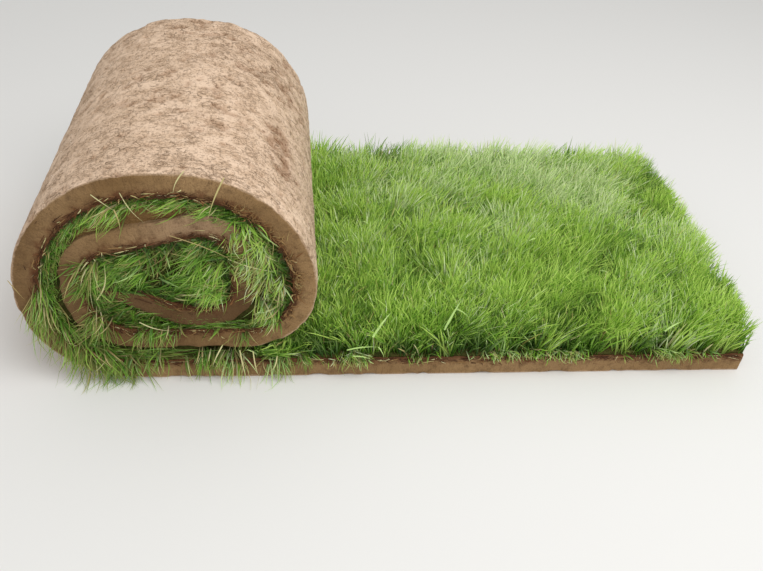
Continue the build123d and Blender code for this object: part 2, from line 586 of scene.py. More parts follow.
def bladeMaterial():
    # the map's first number is the blade's tone, its second how far along the blade a point is
    p = Paint("grassBlade")
    onBlade = p.onMap("blade")
    body = p.node("ShaderNodeValToRGB", {"stops": grassLook["tones"]}, {0: p.part(onBlade, 0)})
    along = p.part(onBlade, 1)
    # painted shade: darker towards the blade's foot
    foot = 1 - along.between(0.20, 0.95)
    colour = p.blend(foot * 0.8, body, grassLook["foot"])
    colour = p.blend(along.between(0.5, 1.0) * 0.25, colour, grassLook["tip"])
    skin = p.skin(colour, 0.5, 0.3)
    glow = p.node("ShaderNodeBsdfTranslucent", {}, {"Color": (*grassLook["through"], 1)})
    return p.finish(p.node("ShaderNodeMixShader", {}, {0: grassLook["throughShare"], 1: skin, 2: glow}))


def fibreMaterial():
    # the map's first number is the fibre's tone
    p = Paint("rootFibre")
    onBlade = p.onMap("blade")
    colour = p.node("ShaderNodeValToRGB", {"stops": grassLook["fibreTones"]}, {0: p.part(onBlade, 0)})
    return p.finish(p.skin(colour, 0.8, 0.2))


def thatchAndShadeMaterial():
    # moss, dead stalks and painted shade between the blades: dark colours that stand in for the shade there,
    # and soil in the upper part of the roll
    p = Paint("thatchAndShade")
    place = p.objectPlace()
    patch = p.grain(place, 60, 4, 0.6)
    fine = p.grain(place, 300, 3, 0.6)
    colour = p.blend(patch.between(0.35, 0.65), grassLook["mossAndShade"], grassLook["stubbleAndShade"])
    colour = p.blend(fine.between(0.4, 0.8) * 0.6, colour, grassLook["litterAndShade"])
    high = p.part(place, 2) + (patch - 0.5) * 0.05
    colour = p.blend(high.between(*grassLook["soilOver"]), colour, soilLook["cutMid"])
    return p.finish(p.skin(colour, 1.0, 0.05, fine + patch, 0.004))


grassBlade = bladeMaterial()
rootFibre = fibreMaterial()
thatchAndShade = thatchAndShadeMaterial()


def asGrass(thing):
    # a piece that stands, with others, for the grass
    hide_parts("grass")
    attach(thing, "root")


bladeShape = {
    "footWidth": 0.72,  # share of the full width at the foot, and from the shoulder on
    "shoulder": 0.625,  # share of the length at which the swelling over the foot ends
    "taper": 2.4,
    "mownTaper": 9.0,  # a mown blade stays wide nearly up to its tip
    "mownKnots": 4,  # a grass blade with no more points than this is a mown one
    "toneStep": 0.004,  # one edge of a blade is that much darker than its tip, the other that much lighter
}


def blades(name, line, width, tone, facing, finish=None, shares=None, lift=0.0):
    # line (n, k, 3) holds k points along each of n blades, at the shares t of its length. A blade lies across
    # its facing and ends in a point, and its half width is
    # w * (foot + (1 - foot) * sin(pi * t / shoulder)) * (1 - t^taper).
    # The map's first number is the tone, its second is lift + (1 - lift) * t, so that lift, one number or one
    # for each blade, takes the painted shade at the foot away.
    a = bladeShape
    count, knots = line.shape[:2]
    t = np.linspace(0, 1, knots) if shares is None else shares
    run = line[:, -1] - line[:, 0]
    side = np.cross(run, facing)
    side /= np.linalg.norm(side, axis=1, keepdims=True) + 1e-9
    swell = np.sin(np.pi * np.minimum(t * (1 / a["shoulder"]), 1))
    taper = a["taper"] if finish or knots > a["mownKnots"] else a["mownTaper"]
    full = a["footWidth"] + (1 - a["footWidth"]) * swell
    half = 0.5 * width[:, None] * full[None] * (1 - t ** taper)[None]
    left = line - side[:, None] * half[..., None]
    right = line + side[:, None] * half[..., None]
    points = np.stack([left[:, :-1], right[:, :-1]], 2).reshape(count, -1, 3)
    points = np.concatenate([points, line[:, -1:]], 1)
    each = points.shape[1]
    start = (np.arange(count) * each)[:, None, None]
    k = np.arange(knots - 2)[None, :, None] * 2
    quads = (start + k + np.array([0, 1, 3, 2])[None, None]).reshape(-1, 4)
    tips = (start[:, 0] + np.array([each - 3, each - 2, each - 1])[None]).reshape(-1, 3)
    edges = np.concatenate([np.tile([-a["toneStep"], a["toneStep"]], knots - 1), [0.0]])
    u = np.clip(tone, 0.01, 0.99)[:, None] + edges[None]
    v = lift + (1 - lift) * np.concatenate([np.repeat(t[:-1], 2), [1.0]])
    uv = np.stack([u, np.broadcast_to(v * 0.98 + 0.01, u.shape)], -1)
    maps = {"blade": uv, "OFBake": uv}
    asGrass(buildMesh(name, points.reshape(-1, 3), [quads, tips], [finish or grassBlade], maps))


def unit(v):
    return v / (np.linalg.norm(v, axis=-1, keepdims=True) + 1e-12)


def facings(count, spread, toward):
    # a direction for each blade's broad side: toward, with a random part of that spread added
    return unit(dice.normal(size=(count, 3)) * spread + np.array(toward))


def pastEnd(end, out):
    # y of a place that stands out of the roll's near (-1) or far (1) end by that much
    return nearFace - out if end < 0 else farFace + out


print("grass: the tail")
tailGrass = {
    "pieces": "ABCD",  # a piece for each letter
    "bladesEach": 25500,
    "shares": np.array((0.0, 0.5, 0.88, 1.0)),
    "width": (0.0011, 0.0021),
    "mown": (0.045, 0.051),
    "longest": 0.070,
    "firstRow": 0.228,  # from the roll's left side, under the roll
    "freeFrom": (0.30, 0.52),  # the lawn comes free of the roll between these
    "edgeBand": 0.018,
    "pressedRoom": 0.062,  # blades with less room than this under the roll are pressed
    # tufts: blades in each, size, fanning out for each metre off the middle, and how much tufts differ
    "perTuft": 6,
    "tuftSize": 0.0018,
    "fanning": 20,
    "tuftLean": 0.16,
    "tuftTall": 0.05,
    "tallRange": (0.8, 1.12),
    "shortShare": 0.10,
    "shortBy": 0.3,
    "tuftLight": 0.16,
    # lean, as a share of the length
    "leanNearRoll": 0.02,
    "leanFree": 0.30,
    "leanBack": 0.10,
    "clumpLean": 0.42,
    "clumpSizes": (0.020, 0.018),
    "spread": 0.22,
    "pressedLean": (0.2, 1.3),
    "overhangEnd": 0.018,
    "overhangFar": 0.027,
    "overhangNear": 0.012,
    "furthestNear": 0.024,
    # noise over the lawn: patches and hollows in height and lightness, the hollows' darkness painted shade,
    # and pale spots
    "patchSize": 0.04,
    "hollowSize": 0.012,
    "paleSize": 0.07,
    "light": 0.62,
    "patchLight": 1.1,
    "hollowLight": 2.6,
}


def undersideLevel(x):
    # height of the roll's lowest soil over a place on the tail, or a large number beyond the roll
    raw = x - stripLeft
    centre = rollWide - soleRadius
    dip = np.sqrt(np.clip(soleRadius ** 2 - np.clip(raw - centre, 0, soleRadius) ** 2, 0, None))
    curved = np.where(raw < centre, strip["soleLevel"], strip["soleLevel"] + soleRadius - dip)
    return np.where(raw > rollWide, 9.0, curved)


def tailTufts(count):
    # each tuft's middle, from the roll's left side and across, its lean, height and lightness
    a = tailGrass
    x = dice.uniform(a["firstRow"], tailEnd - stripLeft - 0.001, count)
    y = dice.uniform(nearFace + 0.002, farFace - 0.002, count)
    lean = dice.normal(0, a["tuftLean"], (2, count))
    tall = np.clip(1 + a["tuftTall"] * dice.normal(size=count), *a["tallRange"])
    tall = tall - a["shortBy"] * (dice.random(count) < a["shortShare"])
    return x, y, lean, tall, dice.normal(0, a["tuftLight"], count)


def tailBlades(name):
    # blades rooted in tufts all over the tail. Each is root + length * (first * t + bow * t^2), where first
    # is nearly upright and bow carries the tip towards the tail's end. The length follows from the height
    # that the lawn was mown to. Tufts differ in lean, height and tone. So do hollows, which are small, and
    # patches, which are wide and differ less in height.
    a = tailGrass
    count = a["bladesEach"]
    tufts = count // a["perTuft"]
    which = dice.integers(0, tufts, count)
    tuftX, tuftY, tuftLean, tuftTall, tuftLight = tailTufts(tufts)
    offX, offY = dice.normal(0, a["tuftSize"], (2, count))
    raw = np.clip(tuftX[which] + offX, a["firstRow"], tailEnd - stripLeft - 0.001)
    x = raw + stripLeft
    y = np.clip(tuftY[which] + offY, nearFace + 0.001, farFace - 0.001)
    flat = 0 * x
    root = np.stack([x, y, flat + rootLevel], -1)
    free = soften(raw, *a["freeFrom"])
    back = soften(y, nearFace + 0.02, farFace - 0.05)
    # 1 at a long edge, 0 from the band inwards
    nearEdge = soften(-(y - nearFace), -a["edgeBand"], 0.0)
    farEdge = soften(y - farFace, -a["edgeBand"], 0.0)

    # the way a blade leans: with the lawn, the clump and its tuft, and out over the long edges
    leanX = a["leanNearRoll"] + (a["leanFree"] - a["leanNearRoll"]) * free * (0.25 + 0.75 * back)
    leanX = leanX + a["clumpLean"] * lumps(x, y, flat, a["clumpSizes"][0], 2, 21)
    leanY = a["leanBack"] + a["clumpLean"] * lumps(x, y, flat, a["clumpSizes"][1], 2, 22)
    leanX = leanX + tuftLean[0][which] + a["fanning"] * offX + dice.normal(0, a["spread"], count)
    leanY = leanY + tuftLean[1][which] + a["fanning"] * offY + dice.normal(0, a["spread"], count)
    leanY = leanY - nearEdge * dice.uniform(0.0, 0.5, count) + farEdge * dice.uniform(0.1, 0.7, count)

    # how long it is: leaning ones are longer, ones under the roll shorter and flatter
    patch = lumps(x, y, flat, a["patchSize"], 3, 23)
    hollow = lumps(x, y, flat, a["hollowSize"], 2, 24)
    tall = dice.uniform(*a["mown"], count) * tuftTall[which] * (1 + 0.08 * patch + 0.20 * hollow)
    tall = tall * (1 - nearEdge * dice.uniform(0, 0.6, count))
    tilt = leanX ** 2 + leanY ** 2
    length = tall / (1 / np.sqrt(1 + 0.12 * tilt) - np.clip(0.20 * tilt, 0, 0.5))
    length = np.minimum(length, a["longest"])
    room = undersideLevel(x) - strip["thickness"] - 0.003
    pressed = np.clip(1 - room / a["pressedRoom"], 0, 1)
    leanX = leanX + pressed * dice.uniform(*a["pressedLean"], count)
    length = length * (1 - 0.45 * pressed)

    # how far it may hang over each edge, least at the near corner of the tail's end
    corner = soften(y, nearFace, nearFace + 0.13)
    endRoom = a["overhangEnd"] * (1.35 * corner - 0.35) * dice.uniform(0.4, 1, count)
    leanX = np.minimum(leanX, (tailEnd + endRoom - x) / length)
    least = (nearFace - a["overhangNear"] * dice.uniform(0.2, 1, count) - y) / length
    most = (farFace + a["overhangFar"] * dice.uniform(0.5, 1, count) - y) / length
    leanY = np.clip(leanY, least, most)
    first = unit(np.stack([0.5 * leanX, 0.5 * leanY, 1 - 0.75 * pressed], -1))
    droop = np.clip(-0.20 * (leanX ** 2 + leanY ** 2), -0.5, 0)
    bow = np.stack([0.5 * leanX, 0.5 * leanY, droop], -1)
    t = a["shares"][None, :, None]
    line = root[:, None] + length[:, None, None] * (first[:, None] * t + bow[:, None] * t ** 2)
    line[..., 1] = np.clip(line[..., 1], nearFace - a["furthestNear"], farFace + a["overhangFar"])
    line[..., 2] = np.minimum(line[..., 2], np.maximum(undersideLevel(line[..., 0]) - 0.002, 0.03))

    # light patches; dark hollows, their darkness painted shade; painted shade near the roll, where the lawn
    # is not yet free of it; and paler blades in pale spots and, as a painted reflection of the sky, where the
    # lawn stands free, towards the back and along the far edge
    width = dice.uniform(*a["width"], count)
    paleSpot = lumps(x, y, flat, a["paleSize"], 3, 27)
    light = a["light"] + 0.19 * free + 0.04 * back + tuftLight[which] + 0.06 * dice.normal(size=count)
    light = light + a["patchLight"] * patch + a["hollowLight"] * hollow
    toBack = 0.3 + 0.7 * back
    pale = 0.04 + 0.42 * free * toBack + 0.16 * back + 1.5 * paleSpot * toBack + 0.15 * farEdge
    tone = toneOf(light, np.clip(pale, 0.03, 0.95), 0.018 + 0.03 * nearEdge)
    facing = facings(count, 1, [0, -0.8, 0.5])
    blades(name, line, width, tone, facing, shares=a["shares"], lift=(0.35 * nearEdge)[:, None])


for letter in tailGrass["pieces"]:
    tailBlades("tailBlades" + letter)

underGrass = {
    "count": 13000,
    "knots": 4,
    "height": (0.018, 0.037),
    "width": (0.0020, 0.0034),
    "lean": (0.2, 0.08),
    "spread": 0.45,
    "overhangEnd": 0.012,
    "overhangNear": 0.006,
    "overhangFar": 0.010,
}


def undergrowth():
    # short broad dark blades that fill the foot of the lawn, their dark tones painted shade there: root +
    # height * (lean * t^1.5, t)
    a = underGrass
    count = a["count"]
    x = stripLeft + dice.uniform(0.24, tailEnd - stripLeft - 0.004, count)
    y = dice.uniform(nearFace + 0.004, farFace - 0.004, count)
    height = dice.uniform(*a["height"], count)
    height = np.minimum(height, np.maximum(undersideLevel(x) - strip["thickness"] - 0.004, 0.004))
    lean = dice.normal(0, a["spread"], (count, 2)) + np.array(a["lean"])
    lean[:, 0] = np.minimum(lean[:, 0], (tailEnd + a["overhangEnd"] - x) / height)
    least, most = nearFace - a["overhangNear"], farFace + a["overhangFar"]
    lean[:, 1] = np.clip(lean[:, 1], (least - y) / height, (most - y) / height)
    t = np.linspace(0, 1, a["knots"])[None, :, None]
    sideways = np.concatenate([lean, np.zeros((count, 1))], 1)[:, None] * t ** 1.5
    root = np.stack([x, y, np.full(count, rootLevel)], -1)[:, None]
    line = root + height[:, None, None] * (sideways + np.array([0, 0, 1]) * t)
    # painted shade: low lightness
    tone = toneOf(0.14 + 0.12 * dice.normal(size=count), 0.10, 0.04, 0.10)
    facing = facings(count, 1, [0, 0, 0])
    blades("undergrowth", line, dice.uniform(*a["width"], count), tone, facing)


undergrowth()

thatchAndShadeLayer = {
    "columns": 110,
    "rows": 62,
    "start": 0.13,  # from the roll's left side
    "inset": 0.002,
    "height": 0.007,
    "rimHeight": 0.003,
    "rimWidth": 0.012,
    "sunk": 0.002,
    "lumpSize": 0.014,
}


def tailThatchAndShade():
    # a low uneven layer over the tail: a closed slab of dark thatch that also paints the shade at the foot of
    # the lawn. Its top is rimHeight + height * soften(way in from the rim), times 1 + 0.5 * noise.
    a = thatchAndShadeLayer
    columns, rows = a["columns"], a["rows"]
    x = np.linspace(stripLeft + a["start"], tailEnd - a["inset"], columns)
    y = np.linspace(nearFace + a["inset"], farFace - a["inset"], rows)
    xx, yy = np.meshgrid(x, y)
    wayIn = np.minimum.reduce([xx - x[0], x[-1] - xx, yy - y[0], y[-1] - yy])
    high = a["rimHeight"] + a["height"] * soften(wayIn, 0, a["rimWidth"])
    top = strip["thickness"] + high * (1 + 0.5 * lumps(xx, yy, 0 * xx, a["lumpSize"], 2, 31))
    low = np.full(xx.shape, strip["thickness"] - a["sunk"])
    points = np.concatenate([np.stack([xx, yy, z], -1).reshape(-1, 3) for z in (top, low)])
    quads = gridQuads(rows, columns)
    n = rows * columns
    rim = np.concatenate([
        np.arange(columns),
        np.arange(1, rows) * columns + columns - 1,
        (rows - 1) * columns + np.arange(columns - 2, -1, -1),
        np.arange(rows - 2, 0, -1) * columns,
    ])
    turn = np.roll(rim, -1)
    walls = np.stack([rim, rim + n, turn + n, turn], -1)
    asGrass(buildMesh("tailThatchAndShade", points, [quads, walls, quads[:, ::-1] + n], [thatchAndShade]))


tailThatchAndShade()

print("grass: inside the roll")
rollGrass = {
    "around": 180,
    "rings": 26,
    "inset": 0.0055,
    "centreInset": 0.012,
    "lumpSize": 0.02,
    "bladesEach": 4600,
    "knots": 5,
    "length": (0.020, 0.048),
    "width": (0.0010, 0.0020),
    "noseThinning": 0.8,
    "lean": (-0.4, 0.6),  # along the strip, as a share of the length: mean and spread
}
rollEnds = {"Near": -1, "Far": 1}


def rollFilling():
    # a closed plug inside the outer turn. Its rim is the line half way through the outer turn's soil, and its
    # end faces are polar grids pushed in by the inset plus noise. Its dark colours paint the shade inside the
    # roll, but for its brown upper part.
    a = rollGrass
    around, rings = a["around"], a["rings"]
    s = np.linspace(tailLength, starts[6], around, endpoint=False)
    rimX, rimZ, _, _ = stripPoint(s, strip["thickness"] * 0.5)
    cx, cz = float(rimX.mean()), float(rimZ.mean())
    share = np.linspace(1, 0, rings + 1)[:-1]
    x = cx + (rimX - cx) * share[:, None]
    z = cz + (rimZ - cz) * share[:, None]
    deep = a["inset"] * (1 + 0.6 * lumps(x, 0 * x, z, a["lumpSize"], 3, 41))
    near = np.stack([x, nearFace + deep, z], -1).reshape(-1, 3)
    far = np.stack([x, farFace - deep, z], -1).reshape(-1, 3)
    centres = [[cx, nearFace + a["centreInset"], cz], [cx, farFace - a["centreInset"], cz]]
    points = np.concatenate([near, far, centres])
    n = rings * around
    i = np.arange(around)
    j = (i + 1) % around
    quads = gridQuads(rings, around, True)
    walls = np.stack([i, i + n, j + n, j], -1)
    last = n - around
    nearFan = np.stack([last + i, last + j, np.full(around, 2 * n)], -1)
    farFan = np.stack([last + j + n, last + i + n, np.full(around, 2 * n + 1)], -1)
    faces = [np.concatenate([quads, walls, quads[:, ::-1] + n]), np.concatenate([nearFan, farFan])]
    asGrass(buildMesh("rollFilling", points, faces, [thatchAndShade]))


rollFilling()

# how deep the grass is over the sheet, at places along the roll
gapDepths = [
    (starts[1], 0.018),
    (starts[2], strip["sideGrass"]),
    (starts[3], strip["crownGrass"]),
    (starts[4], strip["crownGrass"]),
    (starts[5], strip["fallGrass"]),
    (starts[6] + 0.03, 0.010),
    (starts[7], 0.030),
    (starts[8], 0.050),
    (starts[10], 0.045),
    (starts[13], 0.045),
    (starts[14], 0.050),
    (stripLength, 0.030),
]


def rollBlades(side, end):
    # the dark grass deep in the gaps, its darkness painted shade. Each blade is rooted on the sheet's upper
    # side, runs along the strip by way * t, rises off the soil to a share of the gap as 1 - (1 - t)^2, and
    # starts a little inside the end.
    a = rollGrass
    count = a["bladesEach"]
    s = dice.uniform(starts[1] - 0.02, stripLength - 0.01, count)
    thin = a["noseThinning"] * np.clip((s - starts[-2]) / (stripLength - starts[-2]), 0, 1)
    thick = strip["thickness"] * (1 - thin)
    length = dice.uniform(*a["length"], count)
    share = dice.uniform(0.15, 0.95, count)
    inside = dice.uniform(0.001, 0.009, count)
    out = inside * dice.uniform(0.4, 1.0, count) + dice.uniform(0, 0.005, count)
    way = length * (dice.normal(*a["lean"], count) + 0.5 * lumps(s, 0 * s, 0 * s, 0.02, 2, 51))
    t = np.linspace(0, 1, a["knots"])[None]
    along = np.clip(s[:, None] + way[:, None] * t, 0.2, stripLength)
    gap = np.interp(s, *zip(*gapDepths))
    depth = thick[:, None] + (gap * share)[:, None] * (1 - (1 - t) ** 2) - 0.001
    x, z, _, _ = stripPoint(along, depth)
    y = pastEnd(end, out[:, None] * t ** 1.6 - inside[:, None])
    # painted shade: low lightness
    tone = toneOf(0.33 + 0.16 * dice.normal(size=count), 0.12, 0.08, 0.30)
    facing = facings(count, 0.6, [0, end, 0])
    width = dice.uniform(*a["width"], count)
    blades("rollBlades" + side, np.stack([x, y, z], -1), width, tone, facing, lift=0.2)


for side, end in rollEnds.items():
    rollBlades(side, end)

print("grass: tufts that stand out of the roll's ends")
# each row: from and to along the strip, depth, number of tufts and of blades in each, length,
# heading and its spread in degrees, droop, reach out of the end, lightness, and the chances of being pale,
# olive and dead
fans = [
    # drooping strands on the side away from the tail, from the shoulder down to the floor
    ((starts[2] - 0.012, starts[2] + 0.075), (0.023, 0.030), (12, 5), (0.030, 0.076),
        (262, 10), 0.10, (0.002, 0.009), 0.56, (0.25, 0.45, 0.14)),
    ((starts[1] + 0.060, starts[2] - 0.005), (0.018, 0.034), (32, 6), (0.022, 0.062),
        (266, 20), 0.15, (0.003, 0.012), 0.48, (0.15, 0.60, 0.12)),
    ((starts[1] - 0.01, starts[1] + 0.085), (0.020, 0.036), (32, 7), (0.016, 0.046),
        (272, 30), 0.2, (0.004, 0.013), 0.38, (0.12, 0.50, 0.12)),
    # the upper gap: strokes that lie along it
    ((starts[2] + 0.07, starts[2] + 0.19), (0.028, 0.042), (15, 6), (0.016, 0.042),
        (228, 13), 0.05, (0.001, 0.007), 0.60, (0.20, 0.25, 0.14)),
    ((starts[3] - 0.015, starts[4] + 0.05), (0.027, 0.036), (11, 7), (0.016, 0.036),
        (198, 7), 0.04, (0.001, 0.006), 0.60, (0.20, 0.15, 0.12)),
    # the gap on the side that faces the tail: its high lightness is partly painted light
    ((starts[4] + 0.060, starts[4] + 0.125), (0.028, 0.046), (12, 7), (0.018, 0.036),
        (276, 30), 0.08, (0.003, 0.010), 0.86, (0.20, 0.08, 0.06)),
    ((starts[4] + 0.12, starts[5] + 0.045), (0.034, 0.058), (28, 7), (0.014, 0.034),
        (242, 26), 0.10, (0.003, 0.010), 0.90, (0.45, 0.22, 0.14)),
    ((starts[5] + 0.035, starts[6] + 0.01), (0.027, 0.040), (11, 7), (0.014, 0.028),
        (222, 28), 0.10, (0.002, 0.008), 0.46, (0.15, 0.40, 0.12)),
    ((starts[4] + 0.10, starts[5] + 0.03), (0.050, 0.063), (10, 6), (0.014, 0.034),
        (230, 28), 0.10, (0.003, 0.010), 0.78, (0.45, 0.25, 0.16)),
    ((starts[11] + 0.045, starts[13] + 0.01), (0.024, 0.036), (9, 6), (0.012, 0.028),
        (30, 44), 0.10, (0.002, 0.008), 0.46, (0.25, 0.40, 0.18)),
    # over the lower run of the inner turn, and round its heel
    ((starts[6] - 0.005, starts[7] + 0.03), (0.025, 0.032), (17, 7), (0.012, 0.034),
        (256, 28), 0.2, (0.002, 0.010), 0.44, (0.15, 0.40, 0.12)),
    ((starts[7] + 0.02, starts[8] + 0.045), (0.020, 0.034), (27, 6), (0.018, 0.044),
        (248, 32), 0.15, (0.003, 0.009), 0.42, (0.10, 0.55, 0.14)),
    ((starts[8] + 0.01, starts[9] + 0.06), (0.018, 0.034), (9, 6), (0.018, 0.044),
        (250, 26), 0.15, (0.003, 0.010), 0.42, (0.12, 0.55, 0.16)),
    # the core: shade above and to the left, light at the lower right
    ((starts[9] - 0.01, starts[11] + 0.03), (0.030, 0.060), (40, 8), (0.018, 0.040),
        (210, 18), 0.08, (0.000, 0.005), 0.37, (0.15, 0.15, 0.05)),
    ((starts[13] + 0.02, starts[-2] + 0.02), (0.030, 0.056), (46, 8), (0.018, 0.044),
        (38, 17), 0.10, (0.000, 0.008), 0.46, (0.15, 0.08, 0.04)),
    ((starts[12] - 0.02, starts[13] + 0.03), (0.030, 0.056), (26, 7), (0.018, 0.040),
        (236, 20), 0.08, (0.001, 0.008), 0.70, (0.15, 0.12, 0.10)),
    # from the crushed grass under the roll, over the flat mat's edge
    ((starts[1] - 0.19, starts[1] - 0.005), (0.026, 0.040), (28, 6), (0.012, 0.030),
        (268, 30), 0.25, (0.003, 0.011), 0.36, (0.15, 0.45, 0.12)),
    ((starts[1] - 0.145, starts[1] - 0.080), (0.027, 0.038), (9, 5), (0.034, 0.062),
        (272, 16), 0.1, (0.004, 0.014), 0.66, (0.65, 0.20, 0.15)),
    ((starts[1] - 0.25, starts[1] - 0.17), (0.028, 0.042), (11, 6), (0.014, 0.028),
        (310, 34), 0.2, (0.002, 0.008), 0.44, (0.20, 0.30, 0.14)),
    # short pale ones along the lawn's edge, over the top of the soil
    ((0.205, 0.320), (0.027, 0.034), (60, 3), (0.005, 0.014),
        (300, 80), 0.1, (0.002, 0.008), 0.74, (0.60, 0.30, 0.20)),
    ((0.066, 0.110), (0.024, 0.034), (40, 3), (0.006, 0.017),
        (285, 60), 0.1, (0.002, 0.009), 0.60, (0.40, 0.40, 0.16)),
    ((0.446, 0.484), (0.024, 0.036), (34, 3), (0.006, 0.018),
        (300, 75), 0.1, (0.002, 0.009), 0.78, (0.60, 0.25, 0.22)),
    ((0.005, 0.420), (0.026, 0.036), (56, 3), (0.005, 0.013),
        (290, 70), 0.1, (0.002, 0.008), 0.50, (0.30, 0.25, 0.12)),
]
fanLook = {
    "knots": 6,
    "width": (0.0009, 0.0019),
    "clumpOf": 4,  # tufts that stand together
    "clumpSize": 0.007,
    "tuftSize": 0.0030,
    "depthSpread": 0.0012,
    "tuftLight": 0.14,
    "bladeLight": 0.15,
    "bow": 0.10,
    "lowest": 0.0012,
    "furthest": 0.028,
    "furthestLeft": 0.004,
}


def fanBlades(row, end):
    # one row's blades on an end of the roll: each is root + length * t along its heading, bowed across by
    # bow * sin(pi t), less droop * t^2 downward, and comes out of the end as 1 - (1 - t)^2 from a little
    # inside. A blade that reaches the floor runs out along it.
    a = fanLook
    (low, high), depths, (tufts, each), lengths, (way, spread), droop, outs, light, (pale, dull, dead) = row
    t = np.linspace(0, 1, a["knots"])[None]
    count = tufts * each
    which = np.repeat(np.arange(tufts), each)
    clumps = dice.uniform(low, high, max(2, tufts // a["clumpOf"]))
    middle = clumps[dice.integers(0, len(clumps), tufts)] + dice.normal(0, a["clumpSize"], tufts)
    tuftDepth = dice.uniform(*depths, tufts)
    tuftHeading = way + dice.normal(0, spread * 0.7, tufts)
    tuftLength = dice.uniform(*lengths, tufts)
    tuftLight = light + dice.normal(0, a["tuftLight"], tufts)
    s = middle[which] + dice.normal(0, a["tuftSize"], count)
    depth = tuftDepth[which] + dice.normal(0, a["depthSpread"], count)
    x, z, _, _ = stripPoint(np.clip(s, 0.004, stripLength), depth)
    heading = np.radians(tuftHeading[which] + dice.normal(0, spread * 0.8, count))
    length = tuftLength[which] * dice.uniform(0.55, 1.15, count)
    out = dice.uniform(*outs, count)[:, None]
    bow = dice.normal(0, a["bow"], count) * length
    arch = np.sin(np.pi * t)
    xs = x[:, None] + (length * np.cos(heading))[:, None] * t - (bow * np.sin(heading))[:, None] * arch
    zs = z[:, None] + (length * np.sin(heading))[:, None] * t + (bow * np.cos(heading))[:, None] * arch
    zs = zs - (droop * length * dice.uniform(0.3, 1.3, count))[:, None] * t ** 2
    floor = a["lowest"] + 0.002 * dice.random((count, 1)) * t
    below = np.clip(floor - zs, 0, None)
    deep = dice.uniform(0.001, 0.008, count)[:, None]
    reach = (out + deep) * (1 - (1 - t) ** 2) - deep + below * 0.6
    y = pastEnd(end, np.minimum(reach, a["furthest"]))
    line = np.stack([np.maximum(xs, stripLeft - a["furthestLeft"]), y, np.maximum(zs, floor)], -1)
    light = tuftLight[which] + a["bladeLight"] * dice.normal(size=count)
    return line, toneOf(light, pale, dead, dull)


def endFans(side, end):
    # all the rows of tufts on one end
    lines, tones = zip(*(fanBlades(row, end) for row in fans))
    line = np.concatenate(lines)
    facing = facings(len(line), 0.55, [0, end, 0.2])
    width = dice.uniform(*fanLook["width"], len(line))
    blades("fans" + side, line, width, np.concatenate(tones), facing, lift=0.35)


for side, end in rollEnds.items():
    endFans(side, end)

print("grass: single pale stalks")
endStalks = [
    # foot and tip on the end of the roll, in metres from its left side and from the floor, and how far out
    ((0.214, 0.256), (0.196, 0.207), 0.004),
    ((0.178, 0.262), (0.166, 0.236), 0.003),
    ((0.092, 0.236), (0.112, 0.218), 0.004),
    ((0.118, 0.238), (0.138, 0.204), 0.003),
    ((0.111, 0.220), (0.114, 0.196), 0.004),
    ((0.160, 0.192), (0.226, 0.158), 0.007),
    ((0.214, 0.164), (0.262, 0.148), 0.006),
    ((0.081, 0.112), (0.094, 0.158), 0.005),
    ((0.226, 0.178), (0.234, 0.206), 0.004),
    ((0.219, 0.136), (0.242, 0.176), 0.005),
    ((0.000, 0.137), (0.012, 0.112), 0.005),
    ((0.120, 0.083), (0.152, 0.071), 0.006),
    ((0.204, 0.052), (0.192, 0.020), 0.009),
    ((0.222, 0.047), (0.229, 0.002), 0.014),
    ((0.236, 0.044), (0.242, 0.006), 0.012),
    ((0.262, 0.036), (0.252, 0.012), 0.010),
]
tailStraws = [
    # foot and tip on the lawn, from the roll's left side, from the near edge inward and from the floor, and
    # the width
    ((0.365, -0.008, 0.064), (0.387, 0.018, 0.078), 0.0028),
    ((0.445, 0.001, 0.066), (0.470, 0.037, 0.082), 0.0027),
    ((0.699, -0.004, 0.066), (0.721, 0.002, 0.076), 0.0022),
    ((0.337, -0.013, 0.050), (0.371, -0.014, 0.055), 0.0018),
    ((0.371, -0.014, 0.055), (0.379, -0.013, 0.038), 0.0016),
    ((0.344, -0.012, 0.040), (0.367, -0.012, 0.034), 0.0016),
    ((0.461, 0.025, 0.076), (0.474, 0.012, 0.074), 0.0016),
]
stalkLook = {
    "knots": 8,
    "width": (0.0010, 0.0016),
    "tones": (0.74, 0.94),
    "bow": 0.06,
    "lowest": 0.0015,
    "nearOnly": 2,  # the first ones, which lie highest, are left out on the far end
}
strawLook = {
    "knots": 5,
    "width": (0.0010, 0.0018),
    "tones": (0.45, 0.50),
    "reach": (0.008, 0.022),
    "arch": 0.002,
    # more that lie anywhere on the lawn: from the roll's left side, from the near edge, foot and rise
    "lying": 12,
    "lyingX": (0.33, 0.79),
    "lyingY": (0.0, 0.38),
    "lyingFoot": (0.069, 0.075),
    "lyingRise": (-0.012, 0.004),
    # more that stand near the roll
    "upright": 26,
    "uprightX": (0.315, 0.375),
    "uprightY": (0.004, 0.10),
    "uprightFoot": 0.050,
    "uprightRise": (0.016, 0.032),
    "uprightReach": 0.3,
}


def paleStalks(side, end):
    # each is a line from foot to tip, bowed across by its length * bow * sin(pi t), and it stands out of the
    # end by out * (0.35 + 0.65 * sin(pi * (0.1 + 0.8t)))
    a = stalkLook
    t = np.linspace(0, 1, a["knots"])[None]
    stalks = endStalks if end < 0 else endStalks[a["nearOnly"]:]
    foot, tip = (np.array([row[k] for row in stalks]) for k in (0, 1))
    out = np.array([row[2] for row in stalks])[:, None]
    run = tip - foot
    bow = dice.normal(0, a["bow"], len(out))[:, None] * np.sin(np.pi * t)
    x = stripLeft + foot[:, :1] + run[:, :1] * t - run[:, 1:] * bow
    z = np.maximum(foot[:, 1:] + run[:, 1:] * t + run[:, :1] * bow, a["lowest"])
    y = pastEnd(end, out * (0.35 + 0.65 * np.sin(np.pi * np.minimum(t * 0.8 + 0.1, 1))))
    facing = np.tile([0.0, float(end), 0.0], (len(out), 1))
    tone = dice.uniform(*a["tones"], len(out))
    width = dice.uniform(*a["width"], len(out))
    blades("stalks" + side, np.stack([x, y, z], -1), width, tone, facing, rootFibre)


